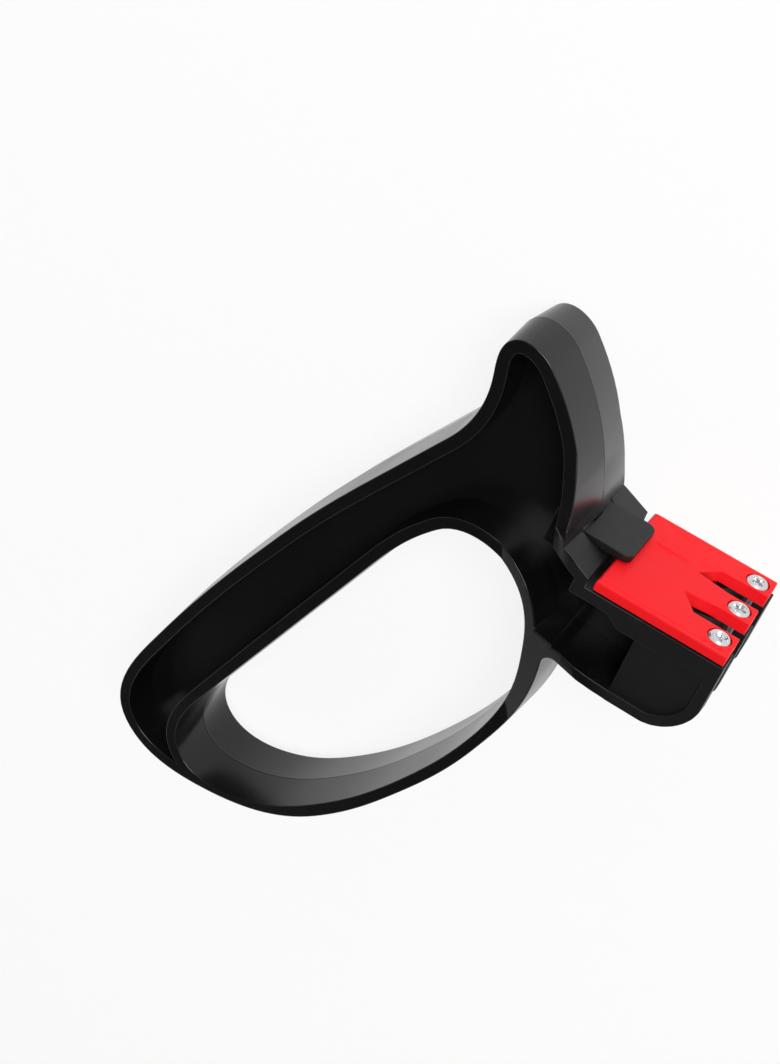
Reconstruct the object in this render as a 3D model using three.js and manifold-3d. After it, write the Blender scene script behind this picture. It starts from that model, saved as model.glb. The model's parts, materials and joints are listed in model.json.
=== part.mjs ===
// Hand-held knife and scissor sharpener: a moulded loop handle with a replaceable cutter head.
// Millimetres, +Z up. The sharpener lies on its far side, with its length along X.

import * as THREE from 'three';
import { mergeVertices } from 'three/addons/utils/BufferGeometryUtils.js';
import Module from 'manifold-3d';

const wasm = await Module();
wasm.setup();

// Overall moulding
const HANDLE_THICKNESS = 20;
const HEAD_THICKNESS = 28.5;
const WEB_THICKNESS = 3;
const RIM_WIDTH = 2.5;
const LOOP_RIM_WIDTH = 2.4;
const DRAFT = 0.07;
const PARTING_LAND = 0.2;
const FLARE_RUN = 18;
const FLARE_FOOT = 8;
const CURVE_STEPS = 14;
const CURVE_REACH = 0.36;

// Fit between pieces
const FIT = 0.3;
const SEAM = 0.15;
const OVERSHOOT = 2;

// The head's own axes lie at this angle: x runs along the blade slots, y stands on the cutter plate.
const HEAD_TILT = THREE.MathUtils.degToRad(-45);

// Main sizes of the handle, from the rear top edge of the cutter plate: back to the butt, up to the top
// of the thumb fin and down to the lowest point of the guard
const HANDLE_LENGTH = 127.9;
const FIN_HEIGHT = 43;
const GUARD_DROP = 44.1;

// A station on an outline: its place, as shares of the main sizes, and its heading in degrees
const station = (along, up, heading) => ({
  x: along * HANDLE_LENGTH,
  y: up * (up > 0 ? FIN_HEIGHT : GUARD_DROP),
  heading: THREE.MathUtils.degToRad(heading),
});

// Parting-line outline of the handle, from the foot of the thumb fin round to the guard
const FIN_FRONT = station(0.047, 0.819, 92);
const FIN_TOP = station(0, 1, 180);
const FIN_BACK = station(-0.05, 0.884, 235);
const THUMB_SADDLE = station(-0.153, 0.686, 192);
const BACK_MIDDLE = station(-0.504, 0.447, 197);
const BACK_REAR = station(-0.827, 0.107, 203);
const BUTT = station(-1, -0.329, 270);
const HEEL = station(-0.886, -0.803, 325);
const GUARD_LOW = station(-0.683, -1, 0);
const GUARD_MIDDLE = station(-0.488, -0.916, 14);
const GUARD_FRONT = station(-0.328, -0.757, 25);
const FRONT_WALL_HEADING = 58;
const NOTCH_HEADING = 52;

// Finger loop, from its front top round by the grip and back along the guard
const LOOP_TOP = station(-0.23, 0.277, 182);
const LOOP_GRIP_FRONT = station(-0.359, 0.191, 200);
const LOOP_GRIP_REAR = station(-0.806, -0.295, 201);
const LOOP_BACK = station(-0.906, -0.556, 270);
const LOOP_HEEL = station(-0.837, -0.815, 333);
const LOOP_LOW = station(-0.684, -0.905, 0);
const LOOP_MIDDLE = station(-0.475, -0.818, 15);
const LOOP_GUARD = station(-0.333, -0.672, 25);
const LOOP_NOSE = station(-0.183, -0.327, 56);
const LOOP_FRONT = station(-0.141, -0.023, 93);

// Cutter head, in the head's own axes
const PLATE_START = 1.2;
const PLATE_SETBACK = 1.4;
const PLATE_THICKNESS = 2.6;
const PLATE_ROUND = 0.9;
const PLATE_ROUND_STEPS = 3;
const RAMP_RUN = 5.5;
const RAMP_RISE = 2.4;
const SEAT_LENGTH = 14;
const CHIN_LENGTH = 28.2;
const CHIN_DEPTH = 22.8;
const CHIN_CORNER = 10;
const CHIN_SAG = 12;
const CHIN_HEADING = -8;
const CHIN_LIP = 0.4;
const NOTCH_REACH = 1.1;
const NOTCH_DEPTH = 21.6;
const NOTCH_ROUND = 2;
const STRIP_START = 5.2;
const STRIP_SLANT = 2.9;
const STRIP_DEPTH = 7.3;
const STRIP_TAPER = 1.2;
const FRONT_WALL_DROP = 1.6;
const PANEL_DEPTH = 0.6;
const PANEL_RIM = 2.2;

// Sharpening rods and blade slots
const ROD_DIAMETER = 4.2;
const ROD_CLEARANCE = 0.2;
const ROD_PITCH = 10.6;
const ROD_PROUD = 0.1;
const PRONG_WALL = 0.4;
const ROD_SETBACK = 3;
const ROD_LENGTH = 16;
const ROD_SIDES = 24;
const ROD_CHAMFER = 0.4;
const ROD_STAND = 0.2;
const DRIVER_CROSS = 2.6;
const DRIVER_SLOT_WIDTH = 0.7;
const DRIVER_SLOT_DEPTH = 0.6;
const ROD_TURNS = { near: 20, middle: 75, far: 140 };
const SLOT_LENGTH = 12.4;
const SLOT_BRIDGE = 2.6;
const SLOT_APEX_SIDE = 3.7;
const SLOT_LEAD_INNER = 6;
const SLOT_LEAD_OUTER = 3.3;

// Tenons of the handle that the carrier slides onto
const TENON_WIDTH = 2.2;
const TENON_HEIGHT = 8;
const TENON_LENGTH = 5.5;
const TENON_PLACE = 11;
const TENON_DEPTH = 14.5;

// Latch
const TONGUE_WIDTH = 13;
const TONGUE_THICKNESS = 1.6;
const TONGUE_OVERLAP = 3.9;
const TONGUE_LIFT = THREE.MathUtils.degToRad(8);
const TONGUE_CORNER = 1.6;
const PIN_DIAMETER = 1.8;
const PIN_SETBACK = 7.6;
const BARREL_WALL = 0.9;
const HOUSING_WALL = 1.6;
const SPRING_WIRE = 0.5;
const SPRING_COILS = 3;
const SPRING_COIL_GAP = 0.45;
const SPRING_LEG = 1.2;
const SPRING_STEPS = 12;
const WIRE_SIDES = 6;

const moulded = (color, roughness) => new THREE.MeshStandardMaterial({ color, roughness, metalness: 0 });
const BLACK_PLASTIC = moulded(0x161617, 0.45);
const RED_PLASTIC = moulded(0xd8161c, 0.4);
const HARD_METAL = new THREE.MeshStandardMaterial({ color: 0xb9bcc0, roughness: 0.3, metalness: 1 });
const SPRING_STEEL = new THREE.MeshStandardMaterial({ color: 0x8d9094, roughness: 0.35, metalness: 1 });

function solid(geometry) {
  const bare = geometry.clone();
  bare.deleteAttribute('normal');
  bare.deleteAttribute('uv');
  const merged = mergeVertices(bare, 1e-4);
  return new wasm.Manifold(new wasm.Mesh({
    numProp: 3,
    vertProperties: new Float32Array(merged.attributes.position.array),
    triVerts: new Uint32Array(merged.index.array),
  }));
}

function geometryOf(body) {
  const mesh = body.getMesh();
  const geometry = new THREE.BufferGeometry();
  geometry.setAttribute('position', new THREE.BufferAttribute(new Float32Array(mesh.vertProperties), 3));
  geometry.setIndex(new THREE.BufferAttribute(new Uint32Array(mesh.triVerts), 1));
  geometry.computeVertexNormals();
  return geometry;
}

function piece(name, body, material) {
  const mesh = new THREE.Mesh(geometryOf(body), material);
  mesh.name = name;
  return mesh;
}

const vectors = (points) => points.map(([x, y]) => new THREE.Vector2(x, y));

// Straight prism of an outline between two heights
function prism(points, low, high) {
  const geometry = new THREE.ExtrudeGeometry(new THREE.Shape(points), {
    depth: high - low,
    bevelEnabled: false,
  });
  return solid(geometry.translate(0, 0, low));
}

// Moulding about the mid-plane whose walls lean in from the parting line by the draft
function draftedPrism(points, hole, thickness) {
  const shape = new THREE.Shape(points);
  shape.holes.push(new THREE.Path(hole));
  const rise = (thickness - PARTING_LAND) / 2;
  const geometry = new THREE.ExtrudeGeometry(shape, {
    depth: PARTING_LAND,
    bevelThickness: rise,
    bevelSize: DRAFT * rise,
    bevelOffset: -DRAFT * rise,
    bevelSegments: 1,
  });
  return solid(geometry.translate(0, 0, -PARTING_LAND / 2));
}

// Outline moved inwards by a distance, or outwards by a negative one
function inset(points, distance) {
  const turned = THREE.ShapeUtils.isClockWise(points) ? [...points].reverse() : points;
  return turned.map((point, i) => {
    const before = turned.at(i - 1);
    const after = turned[(i + 1) % turned.length];
    const a = point.clone().sub(before).normalize();
    const b = after.clone().sub(point).normalize();
    const normals = new THREE.Vector2(-a.y - b.y, a.x + b.x);
    return point.clone().addScaledVector(normals, distance / (1 + a.dot(b)));
  });
}

// Carries a path on through stations by smooth cubic curves
function flow(path, start, stations) {
  let from = start;
  for (const to of stations) {
    const reach = CURVE_REACH * Math.hypot(to.x - from.x, to.y - from.y);
    path.bezierCurveTo(
      from.x + reach * Math.cos(from.heading), from.y + reach * Math.sin(from.heading),
      to.x - reach * Math.cos(to.heading), to.y - reach * Math.sin(to.heading),
      to.x, to.y,
    );
    from = to;
  }
}

// A station moved on along its heading
const ahead = ({ x, y, heading }, distance) => ({
  x: x + distance * Math.cos(heading),
  y: y + distance * Math.sin(heading),
  heading,
});

function headPoint(x, y) {
  return new THREE.Vector2(x, y).rotateAround(new THREE.Vector2(), HEAD_TILT);
}

function headStation(x, y, heading) {
  const place = headPoint(x, y);
  return { x: place.x, y: place.y, heading: THREE.MathUtils.degToRad(heading) + HEAD_TILT };
}

const inHead = (body) => body.rotate([0, 0, THREE.MathUtils.radToDeg(HEAD_TILT)]);
const headOutline = (points) => points.map(([x, y]) => headPoint(x, y));

// A box in the head's axes, from its low corner to its high corner
function headBox(low, high) {
  const corners = vectors([[low[0], low[1]], [high[0], low[1]], [high[0], high[1]], [low[0], high[1]]]);
  return inHead(prism(corners, low[2], high[2]));
}

// Outline of the whole moulding at the parting line, with the chin but without the seat of the plate
const RAMP_TOP = headStation(-RAMP_RUN, RAMP_RISE, FRONT_WALL_HEADING - THREE.MathUtils.radToDeg(HEAD_TILT));
const NOTCH = headStation(-NOTCH_REACH, -NOTCH_DEPTH, NOTCH_HEADING - THREE.MathUtils.radToDeg(HEAD_TILT));
const CHIN_START = headStation(-NOTCH_REACH, -NOTCH_DEPTH, CHIN_HEADING);

function mouldingOutline() {
  const path = new THREE.Path();
  path.moveTo(0, 0);
  path.lineTo(RAMP_TOP.x, RAMP_TOP.y);
  flow(path, RAMP_TOP, [
    FIN_FRONT, FIN_TOP, FIN_BACK, THUMB_SADDLE, BACK_MIDDLE, BACK_REAR,
    BUTT, HEEL, GUARD_LOW, GUARD_MIDDLE, GUARD_FRONT,
    ahead(NOTCH, -NOTCH_ROUND), ahead(CHIN_START, NOTCH_ROUND), headStation(CHIN_SAG, -CHIN_DEPTH, 0),
  ]);
  const cornerStart = headStation(CHIN_LENGTH - CHIN_CORNER, -CHIN_DEPTH, 0);
  path.lineTo(cornerStart.x, cornerStart.y);
  flow(path, cornerStart, [headStation(CHIN_LENGTH, CHIN_CORNER - CHIN_DEPTH, 90)]);
  const top = headPoint(CHIN_LENGTH, 0);
  path.lineTo(top.x, top.y);
  path.lineTo(0, 0);
  return path.getPoints(CURVE_STEPS).slice(0, -1);
}

const fullOutline = mouldingOutline();
const SEAT_DEPTH = PLATE_THICKNESS + FIT;
const PLATE_END = CHIN_LENGTH - PLATE_SETBACK;
const ROD_PLACE = PLATE_END - ROD_SETBACK;
const LAP_START = SEAT_LENGTH - RIM_WIDTH;

const loopPath = new THREE.Path();
loopPath.moveTo(LOOP_TOP.x, LOOP_TOP.y);
flow(loopPath, LOOP_TOP, [
  LOOP_GRIP_FRONT, LOOP_GRIP_REAR, LOOP_BACK, LOOP_HEEL, LOOP_LOW,
  LOOP_MIDDLE, LOOP_GUARD, LOOP_NOSE, LOOP_FRONT, LOOP_TOP,
]);
const loopOutline = loopPath.getPoints(CURVE_STEPS).slice(0, -1);

const HALF_HEAD = HEAD_THICKNESS / 2;
const HALF_HANDLE = HANDLE_THICKNESS / 2;
const ABOVE_HEAD = HALF_HEAD + OVERSHOOT;

// Mirrors a cutter across the mid-plane and joins both
const bothSides = (body) => body.add(body.mirror([0, 0, 1]));

// Space beside the grip, outside the flare that widens the handle to the head
function gripThinning() {
  const flared = headOutline([
    [-RAMP_RUN, RAMP_RISE], [FLARE_FOOT, -CHIN_DEPTH - OVERSHOOT],
    [CHIN_LENGTH + OVERSHOOT, -CHIN_DEPTH - OVERSHOOT], [CHIN_LENGTH + OVERSHOOT, RAMP_RISE],
  ]);
  const rise = ABOVE_HEAD - HALF_HANDLE;
  const spread = FLARE_RUN * rise / (HALF_HEAD - HALF_HANDLE);
  const flare = new THREE.ExtrudeGeometry(new THREE.Shape(flared), {
    depth: HANDLE_THICKNESS,
    bevelThickness: rise,
    bevelSize: spread,
    bevelOffset: FLARE_RUN - spread,
    bevelSegments: 1,
  });
  const { min, max } = new THREE.Box2().setFromPoints(fullOutline).expandByScalar(OVERSHOOT);
  const around = vectors([[min.x, min.y], [max.x, min.y], [max.x, max.y], [min.x, max.y]]);
  const slab = prism(around, HALF_HANDLE, ABOVE_HEAD - OVERSHOOT / 2);
  return bothSides(slab.subtract(solid(flare.translate(0, 0, -HALF_HANDLE))));
}

const moulding = draftedPrism(fullOutline, loopOutline, HEAD_THICKNESS).subtract(gripThinning());

// The two blade slots, cut down through the head from their apex; prong is half the middle prong's width
function bladeSlots(prong, apex) {
  const beyond = CHIN_LENGTH + OVERSHOOT;
  const outer = ROD_PITCH - prong;
  const plan = vectors([
    [apex, SLOT_APEX_SIDE], [apex + SLOT_LEAD_INNER, prong], [beyond, prong],
    [beyond, outer], [apex + SLOT_LEAD_OUTER, outer],
  ]);
  return bothSides(prism(plan, -OVERSHOOT, CHIN_DEPTH + OVERSHOOT).rotate([90, 0, 0]));
}

function rodBores() {
  const radius = ROD_DIAMETER / 2 + ROD_CLEARANCE;
  const low = ROD_STAND - ROD_LENGTH - FIT;
  const bore = new THREE.CylinderGeometry(radius, radius, OVERSHOOT - low, ROD_SIDES);
  const middle = solid(bore.translate(ROD_PLACE, (OVERSHOOT + low) / 2, 0));
  return middle.add(bothSides(middle.translate([0, 0, ROD_PITCH])));
}

function tenon(clearance) {
  const half = TENON_WIDTH / 2 + clearance;
  const low = -TENON_DEPTH - TENON_HEIGHT / 2 - clearance;
  const high = -TENON_DEPTH + TENON_HEIGHT / 2 + clearance;
  const root = LAP_START;
  const end = SEAT_LENGTH + TENON_LENGTH + clearance;
  const corners = vectors([[root, low], [end, low], [end, high], [root, high]]);
  return bothSides(prism(corners, TENON_PLACE - half, TENON_PLACE + half));
}

// Latch geometry: the tongue lies on the plate and turns on a pin inside the foot of the fin
const TONGUE_LOW = FIT;
const TONGUE_TOP = TONGUE_LOW + TONGUE_THICKNESS;
const PIN_HEIGHT = TONGUE_LOW + TONGUE_THICKNESS / 2;
const BARREL_RADIUS = PIN_DIAMETER / 2 + FIT / 2 + BARREL_WALL;
const HALF_TONGUE = TONGUE_WIDTH / 2;
const HALF_HOUSING = HALF_TONGUE + FIT + HOUSING_WALL;
const SPRING_PITCH = SPRING_WIRE + SPRING_COIL_GAP;
const SPRING_ROOM = SPRING_COILS * SPRING_PITCH + SPRING_WIRE + 2 * FIT;

function roundAcross(radius, length, sides) {
  return new THREE.CylinderGeometry(radius, radius, length, sides).rotateX(Math.PI / 2);
}

const atPin = (geometry) => geometry.translate(-PIN_SETBACK, PIN_HEIGHT, 0);

function latchHousing() {
  const reach = BARREL_RADIUS + FIT + HOUSING_WALL;
  return headBox(
    [-PIN_SETBACK - reach, PIN_HEIGHT - reach, -HALF_HOUSING],
    [0, PIN_HEIGHT + reach, HALF_HOUSING],
  );
}

function latchCavity() {
  const half = HALF_TONGUE + FIT;
  const room = BARREL_RADIUS + FIT;
  const swing = FIT + (PIN_SETBACK + OVERSHOOT) * Math.tan(TONGUE_LIFT);
  const barrel = solid(atPin(roundAcross(room, 2 * half, ROD_SIDES)));
  const mouth = prism(vectors([
    [-PIN_SETBACK, TONGUE_LOW - FIT], [OVERSHOOT, TONGUE_LOW - FIT],
    [OVERSHOOT, TONGUE_TOP + swing], [-PIN_SETBACK, TONGUE_TOP + FIT],
  ]), -half, half);
  const pinRadius = PIN_DIAMETER / 2 + FIT / 2;
  const pinHole = solid(atPin(roundAcross(pinRadius, 2 * HALF_HOUSING + OVERSHOOT, ROD_SIDES)));
  return inHead(barrel.add(mouth).add(pinHole));
}

// Side band of the moulding under the plate, which deepens behind the cheeks and tapers to the front
function sideStrip(low, high) {
  const beyond = CHIN_LENGTH + OVERSHOOT;
  return inHead(prism(vectors([
    [STRIP_START, 0], [STRIP_START, -SEAT_DEPTH - RIM_WIDTH], [STRIP_START + STRIP_SLANT, -STRIP_DEPTH],
    [SEAT_LENGTH, -STRIP_DEPTH], [beyond, STRIP_TAPER - STRIP_DEPTH], [beyond, 0],
  ]), low, high));
}

// Where the carrier's cheeks lap over the handle's front wall
function cheekLaps(clearance) {
  return bothSides(headBox(
    [LAP_START + clearance, -CHIN_DEPTH - OVERSHOOT, HALF_HEAD - FRONT_WALL_DROP + 2 * clearance],
    [SEAT_LENGTH + OVERSHOOT, -SEAT_DEPTH, ABOVE_HEAD],
  ));
}

function handleFrame() {
  const beyond = CHIN_LENGTH + OVERSHOOT;
  const aboveAll = ABOVE_HEAD + OVERSHOOT;
  const loopWall = prism(inset(loopOutline, -LOOP_RIM_WIDTH - DRAFT * HALF_HANDLE), 0, aboveAll);
  const seatWall = headBox([-RIM_WIDTH, -SEAT_DEPTH - RIM_WIDTH, 0], [beyond, OVERSHOOT, aboveAll]);
  const frontWall = headBox([LAP_START, -CHIN_DEPTH, 0], [beyond, 0, HALF_HEAD - FRONT_WALL_DROP]);
  const rim = RIM_WIDTH + DRAFT * HALF_HANDLE;
  const neckWall = headBox(
    [-CHIN_LENGTH, -CHIN_DEPTH - OVERSHOOT, 0], [-NOTCH_REACH, rim - NOTCH_DEPTH, aboveAll],
  );
  const recess = prism(inset(fullOutline, rim), WEB_THICKNESS / 2, ABOVE_HEAD)
    .subtract(loopWall)
    .subtract(neckWall)
    .subtract(seatWall)
    .subtract(sideStrip(0, aboveAll))
    .subtract(frontWall);
  const plateSeat = headBox([0, -SEAT_DEPTH, -ABOVE_HEAD], [beyond, OVERSHOOT, ABOVE_HEAD]);
  const carrierSpace = headBox([SEAT_LENGTH, -CHIN_DEPTH - OVERSHOOT, -ABOVE_HEAD], [beyond, 0, ABOVE_HEAD]);
  return moulding
    .subtract(bothSides(recess))
    .add(latchHousing().intersect(moulding))
    .subtract(plateSeat)
    .subtract(carrierSpace)
    .subtract(cheekLaps(0))
    .subtract(latchCavity())
    .add(inHead(tenon(0)));
}

function cutterCarrier() {
  const block = headBox(
    [SEAT_LENGTH + SEAM, -CHIN_DEPTH - OVERSHOOT, -ABOVE_HEAD],
    [PLATE_END + CHIN_LIP, -SEAT_DEPTH, ABOVE_HEAD],
  );
  const sunk = prism(inset(fullOutline, PANEL_RIM + DRAFT * HALF_HEAD), HALF_HEAD - PANEL_DEPTH, ABOVE_HEAD);
  const panel = sunk.subtract(sideStrip(0, ABOVE_HEAD + OVERSHOOT));
  return block
    .add(cheekLaps(SEAM))
    .intersect(moulding)
    .subtract(bothSides(panel))
    .subtract(inHead(bladeSlots(ROD_DIAMETER / 2 - ROD_PROUD, SEAT_LENGTH + SLOT_BRIDGE)))
    .subtract(inHead(rodBores()))
    .subtract(inHead(tenon(FIT)));
}

function cutterPlate() {
  const beyond = PLATE_END + OVERSHOOT;
  const plan = new THREE.Shape(vectors([
    [PLATE_START, -HALF_HEAD], [beyond, -HALF_HEAD], [beyond, HALF_HEAD], [PLATE_START, HALF_HEAD],
  ]));
  const slab = new THREE.ExtrudeGeometry(plan, {
    depth: PLATE_THICKNESS,
    bevelThickness: PLATE_ROUND,
    bevelSize: PLATE_ROUND,
    bevelOffset: -PLATE_ROUND,
    bevelSegments: PLATE_ROUND_STEPS,
  });
  const trim = prism(vectors([
    [0, -PLATE_THICKNESS], [PLATE_END, -PLATE_THICKNESS], [PLATE_END, 0], [0, 0],
  ]), -HALF_HEAD, HALF_HEAD);
  return solid(slab.rotateX(-Math.PI / 2).translate(0, -PLATE_THICKNESS - PLATE_ROUND, 0))
    .intersect(trim)
    .subtract(bladeSlots(ROD_DIAMETER / 2 + ROD_CLEARANCE + PRONG_WALL, PLATE_END - SLOT_LENGTH))
    .subtract(rodBores());
}

function sharpeningRod() {
  const radius = ROD_DIAMETER / 2;
  const profile = vectors([
    [0, -ROD_LENGTH], [radius - ROD_CHAMFER, -ROD_LENGTH], [radius, ROD_CHAMFER - ROD_LENGTH],
    [radius, -ROD_CHAMFER], [radius - ROD_CHAMFER, 0], [0, 0],
  ]);
  const slot = new THREE.BoxGeometry(DRIVER_CROSS, 2 * DRIVER_SLOT_DEPTH, DRIVER_SLOT_WIDTH);
  const across = slot.clone().rotateY(Math.PI / 2);
  return solid(new THREE.LatheGeometry(profile, ROD_SIDES))
    .subtract(solid(slot))
    .subtract(solid(across));
}

function latchTongue() {
  const root = -PIN_SETBACK;
  const bend = TONGUE_OVERLAP - TONGUE_CORNER;
  const plan = new THREE.Shape();
  plan.moveTo(root, -HALF_TONGUE);
  plan.lineTo(bend, -HALF_TONGUE);
  plan.absarc(bend, TONGUE_CORNER - HALF_TONGUE, TONGUE_CORNER, -Math.PI / 2, 0);
  plan.absarc(bend, HALF_TONGUE - TONGUE_CORNER, TONGUE_CORNER, 0, Math.PI / 2);
  plan.lineTo(root, HALF_TONGUE);
  const leaf = new THREE.ExtrudeGeometry(plan, {
    depth: TONGUE_THICKNESS, bevelEnabled: false, curveSegments: CURVE_STEPS,
  });
  const barrel = solid(atPin(roundAcross(BARREL_RADIUS, TONGUE_WIDTH, ROD_SIDES)));
  const bore = solid(atPin(roundAcross(PIN_DIAMETER / 2 + FIT / 2, TONGUE_WIDTH + OVERSHOOT, ROD_SIDES)));
  const springRoom = solid(atPin(roundAcross(BARREL_RADIUS + FIT, SPRING_ROOM, ROD_SIDES)));
  return solid(leaf.rotateX(-Math.PI / 2).translate(0, TONGUE_LOW, 0))
    .add(barrel)
    .subtract(bore)
    .subtract(springRoom);
}

function latchSpring() {
  const radius = PIN_DIAMETER / 2 + FIT + SPRING_WIRE / 2;
  const steps = SPRING_COILS * SPRING_STEPS;
  const places = [];
  for (let i = 0; i <= steps; i += 1) {
    const turn = 2 * Math.PI * i / SPRING_STEPS;
    const along = SPRING_PITCH * (i / SPRING_STEPS - SPRING_COILS / 2);
    places.push(new THREE.Vector3(radius * Math.sin(turn), radius * Math.cos(turn), along));
  }
  const first = places[0].clone().add(new THREE.Vector3(-SPRING_LEG, 0, 0));
  const last = places.at(-1).clone().add(new THREE.Vector3(SPRING_LEG, 0, 0));
  const wire = new THREE.CatmullRomCurve3([first, ...places, last]);
  const round = new THREE.Shape().absarc(0, 0, SPRING_WIRE / 2, 0, 2 * Math.PI);
  const coil = new THREE.ExtrudeGeometry(round, {
    steps: steps + 2, curveSegments: WIRE_SIDES / 2, bevelEnabled: false, extrudePath: wire,
  });
  return solid(atPin(coil));
}

function latchPin() {
  return solid(atPin(roundAcross(PIN_DIAMETER / 2, 2 * HALF_HOUSING, ROD_SIDES)));
}

const head = new THREE.Group();
head.rotation.z = HEAD_TILT;
head.add(piece('cutter_plate', cutterPlate(), RED_PLASTIC));
head.add(piece('latch_tongue', latchTongue(), BLACK_PLASTIC));
head.add(piece('latch_pin', latchPin(), SPRING_STEEL));
head.add(piece('latch_spring', latchSpring(), SPRING_STEEL));
for (const [name, across] of [['near', ROD_PITCH], ['middle', 0], ['far', -ROD_PITCH]]) {
  const rod = piece(`sharpening_rod_${name}`, sharpeningRod(), HARD_METAL);
  rod.position.set(ROD_PLACE, ROD_STAND, across);
  rod.rotation.y = THREE.MathUtils.degToRad(ROD_TURNS[name]);
  head.add(rod);
}

const sharpener = new THREE.Group();
sharpener.add(piece('handle_frame', handleFrame(), BLACK_PLASTIC));
sharpener.add(piece('cutter_carrier', cutterCarrier(), BLACK_PLASTIC));
sharpener.add(head);

// Stands the sharpener on its far side, centred on the middle of its length and height
sharpener.updateMatrixWorld(true);
const box = new THREE.Box3().setFromObject(sharpener, true);
const middle = box.getCenter(new THREE.Vector3());
sharpener.position.set(-middle.x, -middle.y, -box.min.z);

export default sharpener;
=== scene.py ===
"""Knife and scissor sharpener: rounds its moulded edges, gives it its finishes and sets it in a studio."""

import json
from math import radians

import bmesh
import bpy
from bpy.props import FloatProperty, FloatVectorProperty, PointerProperty
from bpy.types import NodeSocket, Operator, Panel, PropertyGroup
from mathutils import Matrix, Vector


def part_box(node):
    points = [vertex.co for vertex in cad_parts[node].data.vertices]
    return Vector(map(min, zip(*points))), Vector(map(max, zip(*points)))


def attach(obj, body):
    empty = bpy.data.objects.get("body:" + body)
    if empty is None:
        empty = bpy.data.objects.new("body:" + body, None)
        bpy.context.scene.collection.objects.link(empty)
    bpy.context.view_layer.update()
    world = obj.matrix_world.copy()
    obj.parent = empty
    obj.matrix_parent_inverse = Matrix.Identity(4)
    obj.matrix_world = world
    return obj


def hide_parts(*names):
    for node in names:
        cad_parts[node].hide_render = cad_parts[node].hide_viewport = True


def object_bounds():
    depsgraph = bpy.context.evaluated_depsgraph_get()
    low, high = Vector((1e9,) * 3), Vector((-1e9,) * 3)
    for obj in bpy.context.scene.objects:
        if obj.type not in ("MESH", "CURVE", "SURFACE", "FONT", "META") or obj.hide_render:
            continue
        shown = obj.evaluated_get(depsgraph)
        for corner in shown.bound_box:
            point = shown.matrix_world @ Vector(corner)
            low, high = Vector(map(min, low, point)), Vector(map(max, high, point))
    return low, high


bl_info = {
    "name": "Knife and Scissor Sharpener",
    "version": (1, 0, 0),
    "blender": (4, 5, 0),
    "location": "3D View > Sidebar > Sharpener",
    "description": "Dresses the sharpener's packed solids with rounded edges, finishes and a studio",
    "category": "Object",
}

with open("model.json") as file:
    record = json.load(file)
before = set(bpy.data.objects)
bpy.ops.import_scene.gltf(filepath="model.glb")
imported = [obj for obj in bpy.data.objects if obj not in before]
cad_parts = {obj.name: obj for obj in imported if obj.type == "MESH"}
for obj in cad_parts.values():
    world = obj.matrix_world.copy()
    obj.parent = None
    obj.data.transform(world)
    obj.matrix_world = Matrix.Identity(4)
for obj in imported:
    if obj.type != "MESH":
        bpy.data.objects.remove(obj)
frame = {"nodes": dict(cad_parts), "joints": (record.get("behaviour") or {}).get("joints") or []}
CAD_BOX = [list(corner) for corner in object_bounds()]

MM = 0.001


def span(node, direction):
    """Lowest and highest reach of a CAD node along a direction."""
    reaches = [vertex.co.dot(direction) for vertex in frame["nodes"][node].data.vertices]
    return min(reaches), max(reaches)


# Directions of the cutter head: along the slots, up from the plate and across the handle
JOINTS = {joint["name"]: joint for joint in frame["joints"]}
ALONG = Vector(JOINTS["cartridge_slide"]["axis"])
UPWARD = Vector(JOINTS["rod_middle_turn"]["axis"])
ACROSS = Vector((0, 0, 1))

# Mesh clean-up before an edge is rounded; more points are merged in the head, where they lie closest
MERGE_DISTANCE = 0.06 * MM
HEAD_MERGE_DISTANCE = 0.22 * MM
HEAD_REACH = 10 * MM
HEAD_START = span("cutter_plate", ALONG)[0] - HEAD_REACH
FLAT_ANGLE = radians(0.6)
SHARP_ANGLE = radians(35)
EDGE_STEPS = 3

# Edges that stay crisp: those round the bores of the rods and the latch, and those on the lap joint's seam
BORE_REACHES = {"rod": 2.5 * MM, "latch": 3.2 * MM}
SEAM_PLACE = span("cutter_carrier", ALONG)[0]
SEAM_REACH = 0.3 * MM

# Gap of that seam in the CAD, and what is left of it here so that no light shows through
SEAM_GAP = 0.15 * MM
SEAM_LEFT = 0.02 * MM

# Turn of each rod's driver cross from the line of the slots, in degrees
ROD_TURNS = {"near": 20, "middle": 75, "far": 140}

# Range that most values of a noise pattern lie in
NOISE_LOW = 0.3
NOISE_HIGH = 0.7

# The bare resin has 1.5; a grained moulding gives back less gloss, so the value is matched a little lower
PLASTIC_IOR = 1.4

# Camera of the photograph, in the frame of the part
CAMERA_PLACE = Vector((194.475, 89.45, 260.70)) * MM
CAMERA_RIGHT = Vector((0.790, -0.384, -0.478))
CAMERA_BACK = Vector((0.586, 0.244, 0.773))
CAMERA_LENS = 55.83


def linear(hex_colour):
    """Linear red, green and blue of an sRGB hex colour."""
    channels = [int(hex_colour[i:i + 2], 16) / 255 for i in (1, 3, 5)]
    return [c / 12.92 if c <= 0.04045 else ((c + 0.055) / 1.055) ** 2.4 for c in channels]


def length(name, description, size):
    """A length in millimetres that the user may change."""
    return FloatProperty(
        name=name, description=description, default=size * MM, min=0, unit="LENGTH", precision=5,
    )


def colour(name, description, hex_colour):
    """A colour that the user may change."""
    return FloatVectorProperty(
        name=name, description=description, default=linear(hex_colour),
        subtype="COLOR", size=3, min=0, max=1,
    )


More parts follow.
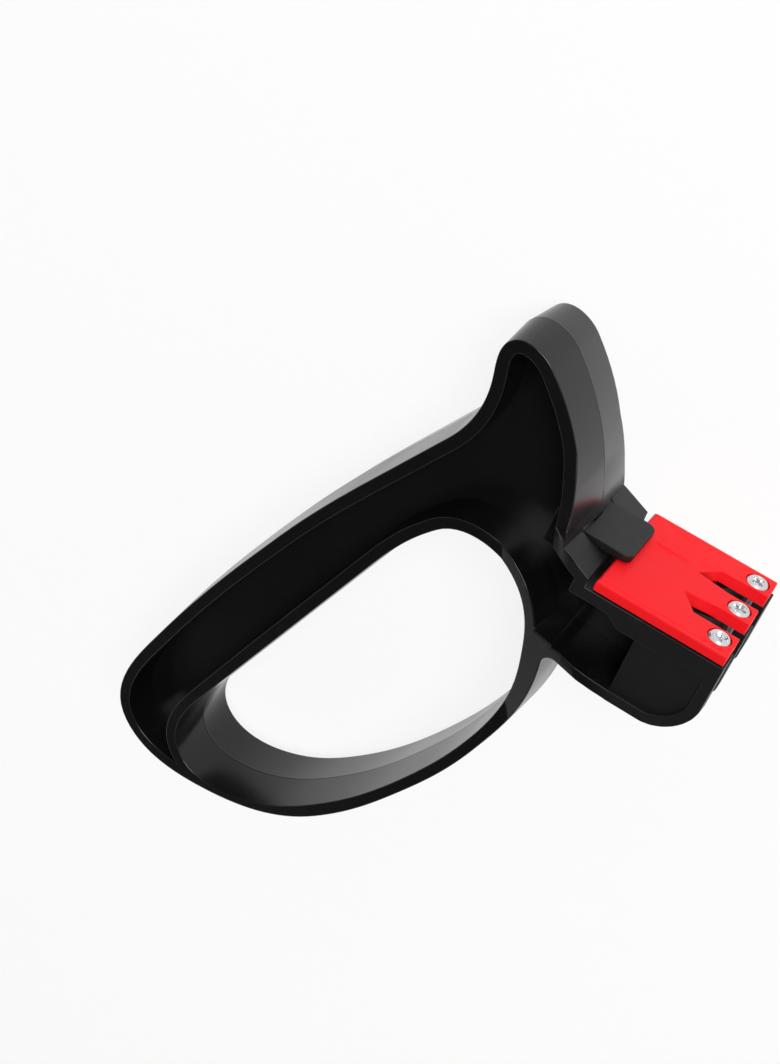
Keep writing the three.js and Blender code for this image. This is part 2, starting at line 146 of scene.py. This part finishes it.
class SharpenerSizes(PropertyGroup):
    """Sizes of the rounded edges and of the small forms on the cutter head."""

    handle_edge: length("Handle Edge", "Radius on the edges of the handle moulding", 0.25)
    carrier_edge: length("Carrier Edge", "Radius on the edges of the cutter carrier", 0.15)
    plate_edge: length("Plate Edge", "Radius on the edges of the cutter plate", 0.25)
    tongue_edge: length("Tongue Edge", "Radius on the edges of the latch tongue", 0.25)
    ridge_length: length("Ridge Length", "Length of the guide ridge on the cutter plate", 7)
    ridge_width: length("Ridge Width", "Width of the guide ridge on the cutter plate", 0.9)
    ridge_height: length("Ridge Height", "Height of the guide ridge over the cutter plate", 0.35)
    cross_span: length("Cross Span", "Span of the driver cross in a rod's end", 2.7)
    cross_width: length("Cross Width", "Width of one arm of the driver cross", 0.75)
    cross_depth: length("Cross Depth", "Depth of the driver cross", 0.6)


class SharpenerColours(PropertyGroup):
    """Colours of the sharpener's finishes and of its studio."""

    black: colour("Black", "Black of the handle, the carrier and the latch tongue", "#0e0e0f")
    red: colour("Red", "Red of the cutter plate", "#ee0614")
    hard_metal: colour("Hard Metal", "Grey of the ground rods", "#d6d8da")
    steel: colour("Steel", "Grey of the latch's pin and spring", "#a3a5a8")
    floor: colour("Floor", "White of the studio floor", "#ffffff")


def add(tree, kind, inputs=None, **settings):
    """Adds a node with its settings, its values and the links into it."""
    node = tree.nodes.new(kind)
    for name, value in settings.items():
        setattr(node, name, value)
    for name, value in (inputs or {}).items():
        if isinstance(value, NodeSocket):
            tree.links.new(value, node.inputs[name])
        else:
            node.inputs[name].default_value = value
    return node


def blank(name):
    """A new material and its empty node tree."""
    material = bpy.data.materials.new(name)
    material.use_nodes = True
    material.node_tree.nodes.clear()
    return material, material.node_tree


def shade(tone, share):
    """A colour at a share of its strength, with alpha."""
    return [min(1, channel * share) for channel in tone] + [1]


def black_abs(colours):
    """Black ABS, injection moulded in a spark-eroded tool."""
    # A satin black with a fine even grain, a faint paler cast where the resin flowed and a witness line
    # at the parting; the tool was left coarser round the cutter head, so the head and the tongue are matt
    material, tree = blank("black_abs_moulded")
    place = add(tree, "ShaderNodeTexCoord").outputs["Object"]
    split = add(tree, "ShaderNodeSeparateXYZ", {"Vector": place})

    # Spark grain is about 0.1 mm; it is drawn at 0.35 mm so that it shows
    grain_size = 0.35 * MM
    grain_relief = 0.008 * MM
    grain = add(tree, "ShaderNodeTexNoise", {
        "Vector": place, "Scale": 1 / grain_size, "Detail": 3.0, "Roughness": 0.6,
    })
    grain_height = add(tree, "ShaderNodeMath", {
        0: grain.outputs["Fac"], 1: grain_relief,
    }, operation="MULTIPLY")

    witness_width = 0.2 * MM
    witness_relief = 0.06 * MM
    parting = (CAD_BOX[0][2] + CAD_BOX[1][2]) / 2
    offset = add(tree, "ShaderNodeMath", {0: split.outputs["Z"], 1: parting}, operation="SUBTRACT")
    distance = add(tree, "ShaderNodeMath", {0: offset.outputs[0]}, operation="ABSOLUTE")
    witness = add(tree, "ShaderNodeMapRange", {
        "Value": distance.outputs[0],
        "From Min": 0.0, "From Max": witness_width, "To Min": 1.0, "To Max": 0.0,
    }, interpolation_type="SMOOTHSTEP")
    relief = add(tree, "ShaderNodeMath", {
        0: witness.outputs["Result"], 1: witness_relief, 2: grain_height.outputs[0],
    }, operation="MULTIPLY_ADD")
    bump = add(tree, "ShaderNodeBump", {"Strength": 1.0, "Distance": 1.0, "Height": relief.outputs[0]})

    flow_size = 18 * MM
    flow = add(tree, "ShaderNodeTexNoise", {"Vector": place, "Scale": 1 / flow_size, "Detail": 3.0})
    tint = add(tree, "ShaderNodeMix", {
        "Factor": flow.outputs["Fac"], "A": shade(colours.black, 0.85), "B": shade(colours.black, 1.2),
    }, data_type="RGBA")
    satin = add(tree, "ShaderNodeMapRange", {
        "Value": flow.outputs["Fac"],
        "From Min": NOISE_LOW, "From Max": NOISE_HIGH, "To Min": 0.18, "To Max": 0.25,
    })

    # The coarser tool starts along X at the tongue's rear and ends along Y at its top
    coarser = 0.26
    low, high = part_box("latch_tongue")
    ahead = add(tree, "ShaderNodeMapRange", {
        "Value": split.outputs["X"],
        "From Min": low[0] - 4 * MM, "From Max": low[0] + 2 * MM, "To Min": 0.0, "To Max": 1.0,
    }, interpolation_type="SMOOTHSTEP")
    below = add(tree, "ShaderNodeMapRange", {
        "Value": split.outputs["Y"],
        "From Min": high[1] - 2 * MM, "From Max": high[1] + 1 * MM, "To Min": coarser, "To Max": 0.0,
    }, interpolation_type="SMOOTHSTEP")
    rough = add(tree, "ShaderNodeMath", {
        0: ahead.outputs["Result"], 1: below.outputs["Result"], 2: satin.outputs["Result"],
    }, operation="MULTIPLY_ADD")

    surface = add(tree, "ShaderNodeBsdfPrincipled", {
        "Base Color": tint.outputs["Result"], "Roughness": rough.outputs["Value"], "IOR": PLASTIC_IOR,
        "Normal": bump.outputs["Normal"],
    })
    add(tree, "ShaderNodeOutputMaterial", {"Surface": surface.outputs["BSDF"]})
    return material


def red_abs(colours):
    """Red ABS, injection moulded in a stoned tool."""
    # A full even red with a smooth satin, slightly deeper where the colour swirled, and a very fine grain
    material, tree = blank("red_abs_moulded")
    place = add(tree, "ShaderNodeTexCoord").outputs["Object"]

    # Stoning marks are about 0.05 mm; they are drawn at 0.4 mm so that they show
    grain_size = 0.4 * MM
    grain_relief = 0.004 * MM
    grain = add(tree, "ShaderNodeTexNoise", {
        "Vector": place, "Scale": 1 / grain_size, "Detail": 2.0, "Roughness": 0.5,
    })
    relief = add(tree, "ShaderNodeMath", {0: grain.outputs["Fac"], 1: grain_relief}, operation="MULTIPLY")
    bump = add(tree, "ShaderNodeBump", {"Strength": 1.0, "Distance": 1.0, "Height": relief.outputs[0]})

    swirl_size = 9 * MM
    swirl = add(tree, "ShaderNodeTexNoise", {"Vector": place, "Scale": 1 / swirl_size, "Detail": 3.0})
    tint = add(tree, "ShaderNodeMix", {
        "Factor": swirl.outputs["Fac"], "A": shade(colours.red, 0.94), "B": shade(colours.red, 1.06),
    }, data_type="RGBA")
    satin = add(tree, "ShaderNodeMapRange", {
        "Value": swirl.outputs["Fac"],
        "From Min": NOISE_LOW, "From Max": NOISE_HIGH, "To Min": 0.56, "To Max": 0.64,
    })
    surface = add(tree, "ShaderNodeBsdfPrincipled", {
        "Base Color": tint.outputs["Result"], "Roughness": satin.outputs["Result"], "IOR": PLASTIC_IOR,
        "Normal": bump.outputs["Normal"],
    })
    add(tree, "ShaderNodeOutputMaterial", {"Surface": surface.outputs["BSDF"]})
    return material


def ground_hard_metal(colours):
    """Sintered hard metal, ground all over with a diamond wheel."""
    # A cool bright grey that mirrors softly, broken by fine scratches
    material, tree = blank("hard_metal_ground")
    place = add(tree, "ShaderNodeTexCoord").outputs["Object"]

    # Grinding marks are about 0.02 mm apart; they are drawn at 0.15 mm so that they show
    mark_size = 0.15 * MM
    mark_relief = 0.003 * MM
    marks = add(tree, "ShaderNodeTexNoise", {
        "Vector": place, "Scale": 1 / mark_size, "Detail": 4.0, "Roughness": 0.7,
    })
    relief = add(tree, "ShaderNodeMath", {0: marks.outputs["Fac"], 1: mark_relief}, operation="MULTIPLY")
    bump = add(tree, "ShaderNodeBump", {"Strength": 1.0, "Distance": 1.0, "Height": relief.outputs[0]})
    tint = add(tree, "ShaderNodeMix", {
        "Factor": marks.outputs["Fac"],
        "A": shade(colours.hard_metal, 0.88), "B": shade(colours.hard_metal, 1.05),
    }, data_type="RGBA")
    rough = add(tree, "ShaderNodeMapRange", {
        "Value": marks.outputs["Fac"],
        "From Min": NOISE_LOW, "From Max": NOISE_HIGH, "To Min": 0.22, "To Max": 0.34,
    })
    surface = add(tree, "ShaderNodeBsdfPrincipled", {
        "Base Color": tint.outputs["Result"], "Metallic": 1.0, "Roughness": rough.outputs["Result"],
        "Normal": bump.outputs["Normal"],
    })
    add(tree, "ShaderNodeOutputMaterial", {"Surface": surface.outputs["BSDF"]})
    return material


def drawn_steel(colours):
    """Spring steel wire, cold drawn and lightly oiled."""
    # A mid grey with soft streaks along the draw, which runs across the handle
    material, tree = blank("spring_steel_drawn")
    place = add(tree, "ShaderNodeTexCoord").outputs["Object"]

    # Draw marks are about 0.03 mm wide; they are drawn 0.2 mm wide so that they show, and ten times as long
    streak_width = 0.2 * MM
    stretched = add(tree, "ShaderNodeMapping", {"Vector": place, "Scale": (1.0, 1.0, 0.1)})
    streaks = add(tree, "ShaderNodeTexNoise", {
        "Vector": stretched.outputs["Vector"], "Scale": 1 / streak_width, "Detail": 2.0,
    })
    tint = add(tree, "ShaderNodeMix", {
        "Factor": streaks.outputs["Fac"], "A": shade(colours.steel, 0.8), "B": shade(colours.steel, 1.1),
    }, data_type="RGBA")
    rough = add(tree, "ShaderNodeMapRange", {
        "Value": streaks.outputs["Fac"],
        "From Min": NOISE_LOW, "From Max": NOISE_HIGH, "To Min": 0.28, "To Max": 0.4,
    })
    surface = add(tree, "ShaderNodeBsdfPrincipled", {
        "Base Color": tint.outputs["Result"], "Metallic": 1.0, "Roughness": rough.outputs["Result"],
    })
    add(tree, "ShaderNodeOutputMaterial", {"Surface": surface.outputs["BSDF"]})
    return material


def white_floor(colours):
    """White seamless paper that glows white to the eye, so that it reads as white and keeps a soft shadow.
    """
    # Plain white to the eye and in mirrored light, and matt paper to all other light
    material, tree = blank("floor_paper")
    path = add(tree, "ShaderNodeLightPath")
    mirrored = add(tree, "ShaderNodeMath", {
        0: path.outputs["Is Glossy Ray"], 1: path.outputs["Is Transmission Ray"],
    }, operation="MAXIMUM")
    seen = add(tree, "ShaderNodeMath", {
        0: path.outputs["Is Camera Ray"], 1: mirrored.outputs[0],
    }, operation="MAXIMUM")

    # What is left beside the glow is the share of the shadow that shows
    glow_share = 0.85
    share = add(tree, "ShaderNodeMath", {0: seen.outputs[0], 1: glow_share}, operation="MULTIPLY")
    paper = add(tree, "ShaderNodeBsdfDiffuse", {"Color": shade(colours.floor, 1.0)})
    glow = add(tree, "ShaderNodeEmission", {"Color": (1, 1, 1, 1), "Strength": 1.0})
    both = add(tree, "ShaderNodeMixShader", {
        0: share.outputs[0], 1: paper.outputs["BSDF"], 2: glow.outputs["Emission"],
    })
    add(tree, "ShaderNodeOutputMaterial", {"Surface": both.outputs["Shader"]})
    return material


def reuse(name, maker, colours):
    """A finish that is made once and shared."""
    return bpy.data.materials.get(name) or maker(colours)


def on_bore(edge):
    """Whether an edge lies close round a joint that turns in a bore."""
    for name, joint in JOINTS.items():
        reach = BORE_REACHES.get(name.split("_")[0])
        if reach:
            axis = Vector(joint["axis"])
            offsets = [vertex.co - Vector(joint["pos_m"]) for vertex in edge.verts]
            if all((offset - axis * offset.dot(axis)).length < reach for offset in offsets):
                return True
    return False


def on_seam(edge):
    """Whether an edge lies where the carrier's cheeks lap onto the handle."""
    return all(abs(vertex.co.dot(ALONG) - SEAM_PLACE) < SEAM_REACH for vertex in edge.verts)


def close_seam(shape):
    """Draws the rear rims of the carrier's cheeks close up to the handle."""
    rims = [vertex for vertex in shape.verts if abs(vertex.co.dot(ALONG) - SEAM_PLACE) < SEAM_GAP]
    bmesh.ops.translate(shape, verts=rims, vec=(SEAM_LEFT - SEAM_GAP) * ALONG)


def softened(node):
    """A merged copy of a CAD node, with its outer edges marked for rounding."""
    shape = bmesh.new()
    shape.from_mesh(frame["nodes"][node].data)
    bmesh.ops.remove_doubles(shape, verts=shape.verts, dist=MERGE_DISTANCE)
    head = [vertex for vertex in shape.verts if vertex.co.dot(ALONG) > HEAD_START]
    bmesh.ops.remove_doubles(shape, verts=head, dist=HEAD_MERGE_DISTANCE)
    bmesh.ops.dissolve_degenerate(shape, edges=shape.edges, dist=MERGE_DISTANCE)
    bmesh.ops.dissolve_limit(
        shape, angle_limit=FLAT_ANGLE, use_dissolve_boundaries=False, verts=shape.verts, edges=shape.edges,
    )
    rounding = shape.edges.layers.float.new("bevel_weight_edge")
    for edge in shape.edges:
        outer = edge.is_manifold and edge.is_convex and edge.calc_face_angle() > SHARP_ANGLE
        if outer and not on_bore(edge) and not on_seam(edge):
            edge[rounding] = 1.0
    return shape


def shaded(shape):
    """Shades smoothly across rounded edges and shallow ones."""
    for face in shape.faces:
        face.smooth = True
    rounding = shape.edges.layers.float.get("bevel_weight_edge")
    for edge in shape.edges:
        rounded = rounding is not None and edge[rounding] > 0
        edge.smooth = rounded or not edge.is_manifold or edge.calc_face_angle() < SHARP_ANGLE


def round_edges(part, radius):
    """Rounds the marked edges of a piece."""
    rounded = part.modifiers.new("rounded_edges", "BEVEL")
    rounded.limit_method = "WEIGHT"
    rounded.width = radius
    rounded.segments = EDGE_STEPS
    rounded.use_clamp_overlap = False
    rounded.miter_outer = "MITER_ARC"
    level = part.modifiers.new("flat_faces_stay_flat", "WEIGHTED_NORMAL")
    level.keep_sharp = True


def piece(name, shape, body, slot, material, *nodes):
    """Makes a shape an object that rides on a body and stands for its CAD nodes."""
    shaded(shape)
    mesh = bpy.data.meshes.new(name)
    shape.to_mesh(mesh)
    shape.free()
    mesh.materials.append(material)
    part = bpy.data.objects.new(name, mesh)
    bpy.context.scene.collection.objects.link(part)
    if nodes:
        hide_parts(*nodes)
    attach(part, body)
    return part


class SHARPENER_OT_handle(Operator):
    """Rounds the handle moulding and gives it its black finish"""

    bl_idname = "sharpener.handle"
    bl_label = "Handle"

    def execute(self, context):
        black = reuse("black_abs_moulded", black_abs, context.scene.sharpener_colours)
        shape = softened("handle_frame")
        part = piece("handle_moulding", shape, "handle", "black_plastic", black, "handle_frame")
        round_edges(part, context.scene.sharpener_sizes.handle_edge)
        return {"FINISHED"}


class SHARPENER_OT_carrier(Operator):
    """Rounds the cutter carrier and gives it its black finish"""

    bl_idname = "sharpener.carrier"
    bl_label = "Cutter Carrier"

    def execute(self, context):
        black = reuse("black_abs_moulded", black_abs, context.scene.sharpener_colours)
        shape = softened("cutter_carrier")
        close_seam(shape)
        part = piece("carrier_moulding", shape, "cartridge", "black_plastic", black, "cutter_carrier")
        round_edges(part, context.scene.sharpener_sizes.carrier_edge)
        return {"FINISHED"}


class SHARPENER_OT_plate(Operator):
    """Rounds the red cutter plate and raises its guide ridge"""

    bl_idname = "sharpener.plate"
    bl_label = "Cutter Plate"

    RIDGE_START = 3.8 * MM
    RIDGE_SIDE = -5.2 * MM
    RIDGE_SIDES = 32
    RIDGE_RINGS = 16

    def plate_top(self):
        """Place of the plate's rear top edge, on the middle of the head, with the head's directions."""
        low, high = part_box("cutter_plate")
        origin = ALONG * span("cutter_plate", ALONG)[0]
        origin += UPWARD * span("cutter_plate", UPWARD)[1]
        origin += ACROSS * (low[2] + high[2]) / 2
        return Matrix.Translation(origin) @ Matrix((ALONG, UPWARD, ACROSS)).transposed().to_4x4()

    def ridge(self, sizes):
        """A long low ridge with tapered ends, half sunk in the plate's top."""
        # The sphere is one unit across, and the girth stretches it to the ridge's sizes
        shape = bmesh.new()
        bmesh.ops.create_uvsphere(
            shape, u_segments=self.RIDGE_SIDES, v_segments=self.RIDGE_RINGS, radius=0.5,
        )
        middle = (self.RIDGE_START + sizes.ridge_length / 2, 0, self.RIDGE_SIDE)
        girth = Matrix.Diagonal((sizes.ridge_length, 2 * sizes.ridge_height, sizes.ridge_width, 1))
        place = self.plate_top() @ Matrix.Translation(middle) @ girth
        bmesh.ops.transform(shape, matrix=place, verts=shape.verts)
        return shape

    def execute(self, context):
        sizes = context.scene.sharpener_sizes
        red = reuse("red_abs_moulded", red_abs, context.scene.sharpener_colours)
        shape = softened("cutter_plate")
        part = piece("plate_moulding", shape, "cartridge", "red_plastic", red, "cutter_plate")
        round_edges(part, sizes.plate_edge)
        piece("plate_ridge", self.ridge(sizes), "cartridge", "red_plastic", red)
        return {"FINISHED"}


class SHARPENER_OT_rods(Operator):
    """Turns the three sharpening rods with their driver crosses"""

    bl_idname = "sharpener.rods"
    bl_label = "Sharpening Rods"

    SIDES = 48
    RING = 0.42 * MM
    DISH = 0.12 * MM
    CHAMFER = 0.35 * MM
    CROSS_TAPER = 0.62

    def turned_rod(self, sizes, radius, length):
        """A rod that hangs from its top end, with a dished face, a bright ring and a driver cross."""
        shape = bmesh.new()
        half = sizes.cross_span / 2
        arm = sizes.cross_width / 2
        corners = [(half, arm), (arm, arm), (arm, half), (-arm, half), (-arm, arm), (-half, arm)]
        corners += [(-x, -y) for x, y in corners]
        cross = shape.faces.new([shape.verts.new((x, y, -self.DISH)) for x, y in corners])
        outline = list(cross.edges)
        pocket = bmesh.ops.extrude_face_region(shape, geom=[cross])["geom"]
        floor = [item for item in pocket if isinstance(item, bmesh.types.BMVert)]
        bmesh.ops.translate(shape, verts=floor, vec=(0, 0, -sizes.cross_depth))
        bmesh.ops.scale(shape, verts=floor, vec=(self.CROSS_TAPER, self.CROSS_TAPER, 1))
        if cross.is_valid:
            bmesh.ops.delete(shape, geom=[cross], context="FACES_ONLY")
        dish = radius - self.CHAMFER - self.RING
        rim = bmesh.ops.create_circle(shape, segments=self.SIDES, radius=dish)["verts"]
        bmesh.ops.translate(shape, verts=rim, vec=(0, 0, -self.DISH))
        circle = list(dict.fromkeys(edge for vertex in rim for edge in vertex.link_edges))
        bmesh.ops.triangle_fill(shape, use_beauty=True, edges=circle + outline)
        steps = [
            (dish + self.DISH, 0),
            (radius - self.CHAMFER, 0),
            (radius, -self.CHAMFER),
            (radius, self.CHAMFER - length),
            (radius - self.CHAMFER, -length),
        ]
        for reach, height in steps:
            grown = bmesh.ops.extrude_edge_only(shape, edges=circle)["geom"]
            rim = [item for item in grown if isinstance(item, bmesh.types.BMVert)]
            circle = [item for item in grown if isinstance(item, bmesh.types.BMEdge)]
            scale = reach / rim[0].co.xy.length
            bmesh.ops.scale(shape, verts=rim, vec=(scale, scale, 1))
            bmesh.ops.translate(shape, verts=rim, vec=(0, 0, height - rim[0].co.z))
        bmesh.ops.contextual_create(shape, geom=circle)
        bmesh.ops.recalc_face_normals(shape, faces=shape.faces)
        return shape

    def execute(self, context):
        sizes = context.scene.sharpener_sizes
        metal = reuse("hard_metal_ground", ground_hard_metal, context.scene.sharpener_colours)
        seat = Matrix((ALONG, -ACROSS, UPWARD)).transposed().to_4x4()
        for name, turn in ROD_TURNS.items():
            node = f"sharpening_rod_{name}"
            low, high = span(node, UPWARD)
            near, far = span(node, ACROSS)
            shape = self.turned_rod(sizes, (far - near) / 2, high - low)
            top = Vector(JOINTS[f"rod_{name}_turn"]["pos_m"])
            place = Matrix.Translation(top) @ seat @ Matrix.Rotation(radians(turn), 4, "Z")
            bmesh.ops.transform(shape, matrix=place, verts=shape.verts)
            piece(f"rod_{name}", shape, f"rod_{name}", "rod_metal", metal, node)
        return {"FINISHED"}


class SHARPENER_OT_latch(Operator):
    """Rounds the latch tongue and gives the pin and the spring their steel"""

    bl_idname = "sharpener.latch"
    bl_label = "Latch"

    def execute(self, context):
        colours = context.scene.sharpener_colours
        black = reuse("black_abs_moulded", black_abs, colours)
        shape = softened("latch_tongue")
        part = piece("tongue_moulding", shape, "latch", "black_plastic", black, "latch_tongue")
        round_edges(part, context.scene.sharpener_sizes.tongue_edge)
        steel = reuse("spring_steel_drawn", drawn_steel, colours)
        for node in ("latch_pin", "latch_spring"):
            frame["nodes"][node].data.materials.clear()
            frame["nodes"][node].data.materials.append(steel)
        return {"FINISHED"}


class SHARPENER_OT_stage(Operator):
    """Sets the floor with its round backdrop, the soft lights and the camera"""

    bl_idname = "sharpener.stage"
    bl_label = "Stage"

    FLOOR_REACH = 1.5
    WALL_HEIGHT = 0.9
    WALL_SIDES = 64
    SKY_LEVEL = 0.07
    AIM = Vector((0.02, 0, 0.014))

    # Place, size in metres and power in watts of each soft box
    SOFT_BOXES = {
        "key_box": ((0.8, 0.2, 1.0), 0.6, 14.5),
        "side_box": ((0.45, 0.5, 0.3), 0.4, 0.3),
    }

    def floor(self, scene):
        """A round paper floor that turns up into a low wall."""
        shape = bmesh.new()
        bmesh.ops.create_circle(shape, cap_ends=True, segments=self.WALL_SIDES, radius=self.FLOOR_REACH)
        wall = bmesh.ops.extrude_edge_only(shape, edges=shape.edges)["geom"]
        rim = [item for item in wall if isinstance(item, bmesh.types.BMVert)]
        bmesh.ops.translate(shape, verts=rim, vec=(0, 0, self.WALL_HEIGHT))
        mesh = bpy.data.meshes.new("floor")
        shape.to_mesh(mesh)
        shape.free()
        mesh.materials.append(white_floor(scene.sharpener_colours))
        floor = bpy.data.objects.new("floor", mesh)
        scene.collection.objects.link(floor)

    def lights(self, scene):
        """Square soft boxes that shine at the sharpener, under a dim plain sky."""
        for name, (place, size, power) in self.SOFT_BOXES.items():
            lamp = bpy.data.lights.new(name, "AREA")
            lamp.shape = "SQUARE"
            lamp.size = size
            lamp.energy = power
            light = bpy.data.objects.new(name, lamp)
            light.location = place
            light.rotation_euler = (self.AIM - Vector(place)).to_track_quat("-Z", "Y").to_euler()
            scene.collection.objects.link(light)
        world = bpy.data.worlds.new("studio")
        world.use_nodes = True
        tree = world.node_tree
        tree.nodes.clear()
        sky = add(tree, "ShaderNodeBackground", {"Color": (1, 1, 1, 1), "Strength": self.SKY_LEVEL})
        add(tree, "ShaderNodeOutputWorld", {"Surface": sky.outputs["Background"]})
        scene.world = world

    def camera(self, scene):
        """The photograph's view, with plain colours."""
        lens = bpy.data.cameras.new("camera")
        lens.lens = CAMERA_LENS
        lens.clip_start = 0.01
        camera = bpy.data.objects.new("camera", lens)
        right = CAMERA_RIGHT.normalized()
        back = (CAMERA_BACK - right * CAMERA_BACK.dot(right)).normalized()
        turn = Matrix((right, back.cross(right), back)).transposed()
        camera.matrix_world = Matrix.Translation(CAMERA_PLACE) @ turn.to_4x4()
        scene.collection.objects.link(camera)
        scene.camera = camera
        scene.view_settings.view_transform = "Standard"

    def execute(self, context):
        self.floor(context.scene)
        self.lights(context.scene)
        self.camera(context.scene)
        return {"FINISHED"}


class SHARPENER_PT_panel(Panel):
    """Lists the sharpener's pieces, sizes and colours"""

    bl_idname = "SHARPENER_PT_panel"
    bl_label = "Sharpener"
    bl_space_type = "VIEW_3D"
    bl_region_type = "UI"
    bl_category = "Sharpener"

    def draw(self, context):
        for operator in OPERATORS:
            self.layout.operator(operator.bl_idname)
        for group in (context.scene.sharpener_sizes, context.scene.sharpener_colours):
            column = self.layout.column()
            for name in group.__annotations__:
                column.prop(group, name)


OPERATORS = (
    SHARPENER_OT_handle,
    SHARPENER_OT_carrier,
    SHARPENER_OT_plate,
    SHARPENER_OT_rods,
    SHARPENER_OT_latch,
    SHARPENER_OT_stage,
)
CLASSES = (SharpenerSizes, SharpenerColours, *OPERATORS, SHARPENER_PT_panel)


def register():
    for item in CLASSES:
        bpy.utils.register_class(item)
    bpy.types.Scene.sharpener_sizes = PointerProperty(type=SharpenerSizes)
    bpy.types.Scene.sharpener_colours = PointerProperty(type=SharpenerColours)


def unregister():
    del bpy.types.Scene.sharpener_colours
    del bpy.types.Scene.sharpener_sizes
    for item in reversed(CLASSES):
        bpy.utils.unregister_class(item)


def main():
    register()
    bpy.ops.sharpener.handle()
    bpy.ops.sharpener.carrier()
    bpy.ops.sharpener.plate()
    bpy.ops.sharpener.rods()
    bpy.ops.sharpener.latch()
    bpy.ops.sharpener.stage()


if __name__ == "__main__":
    main()
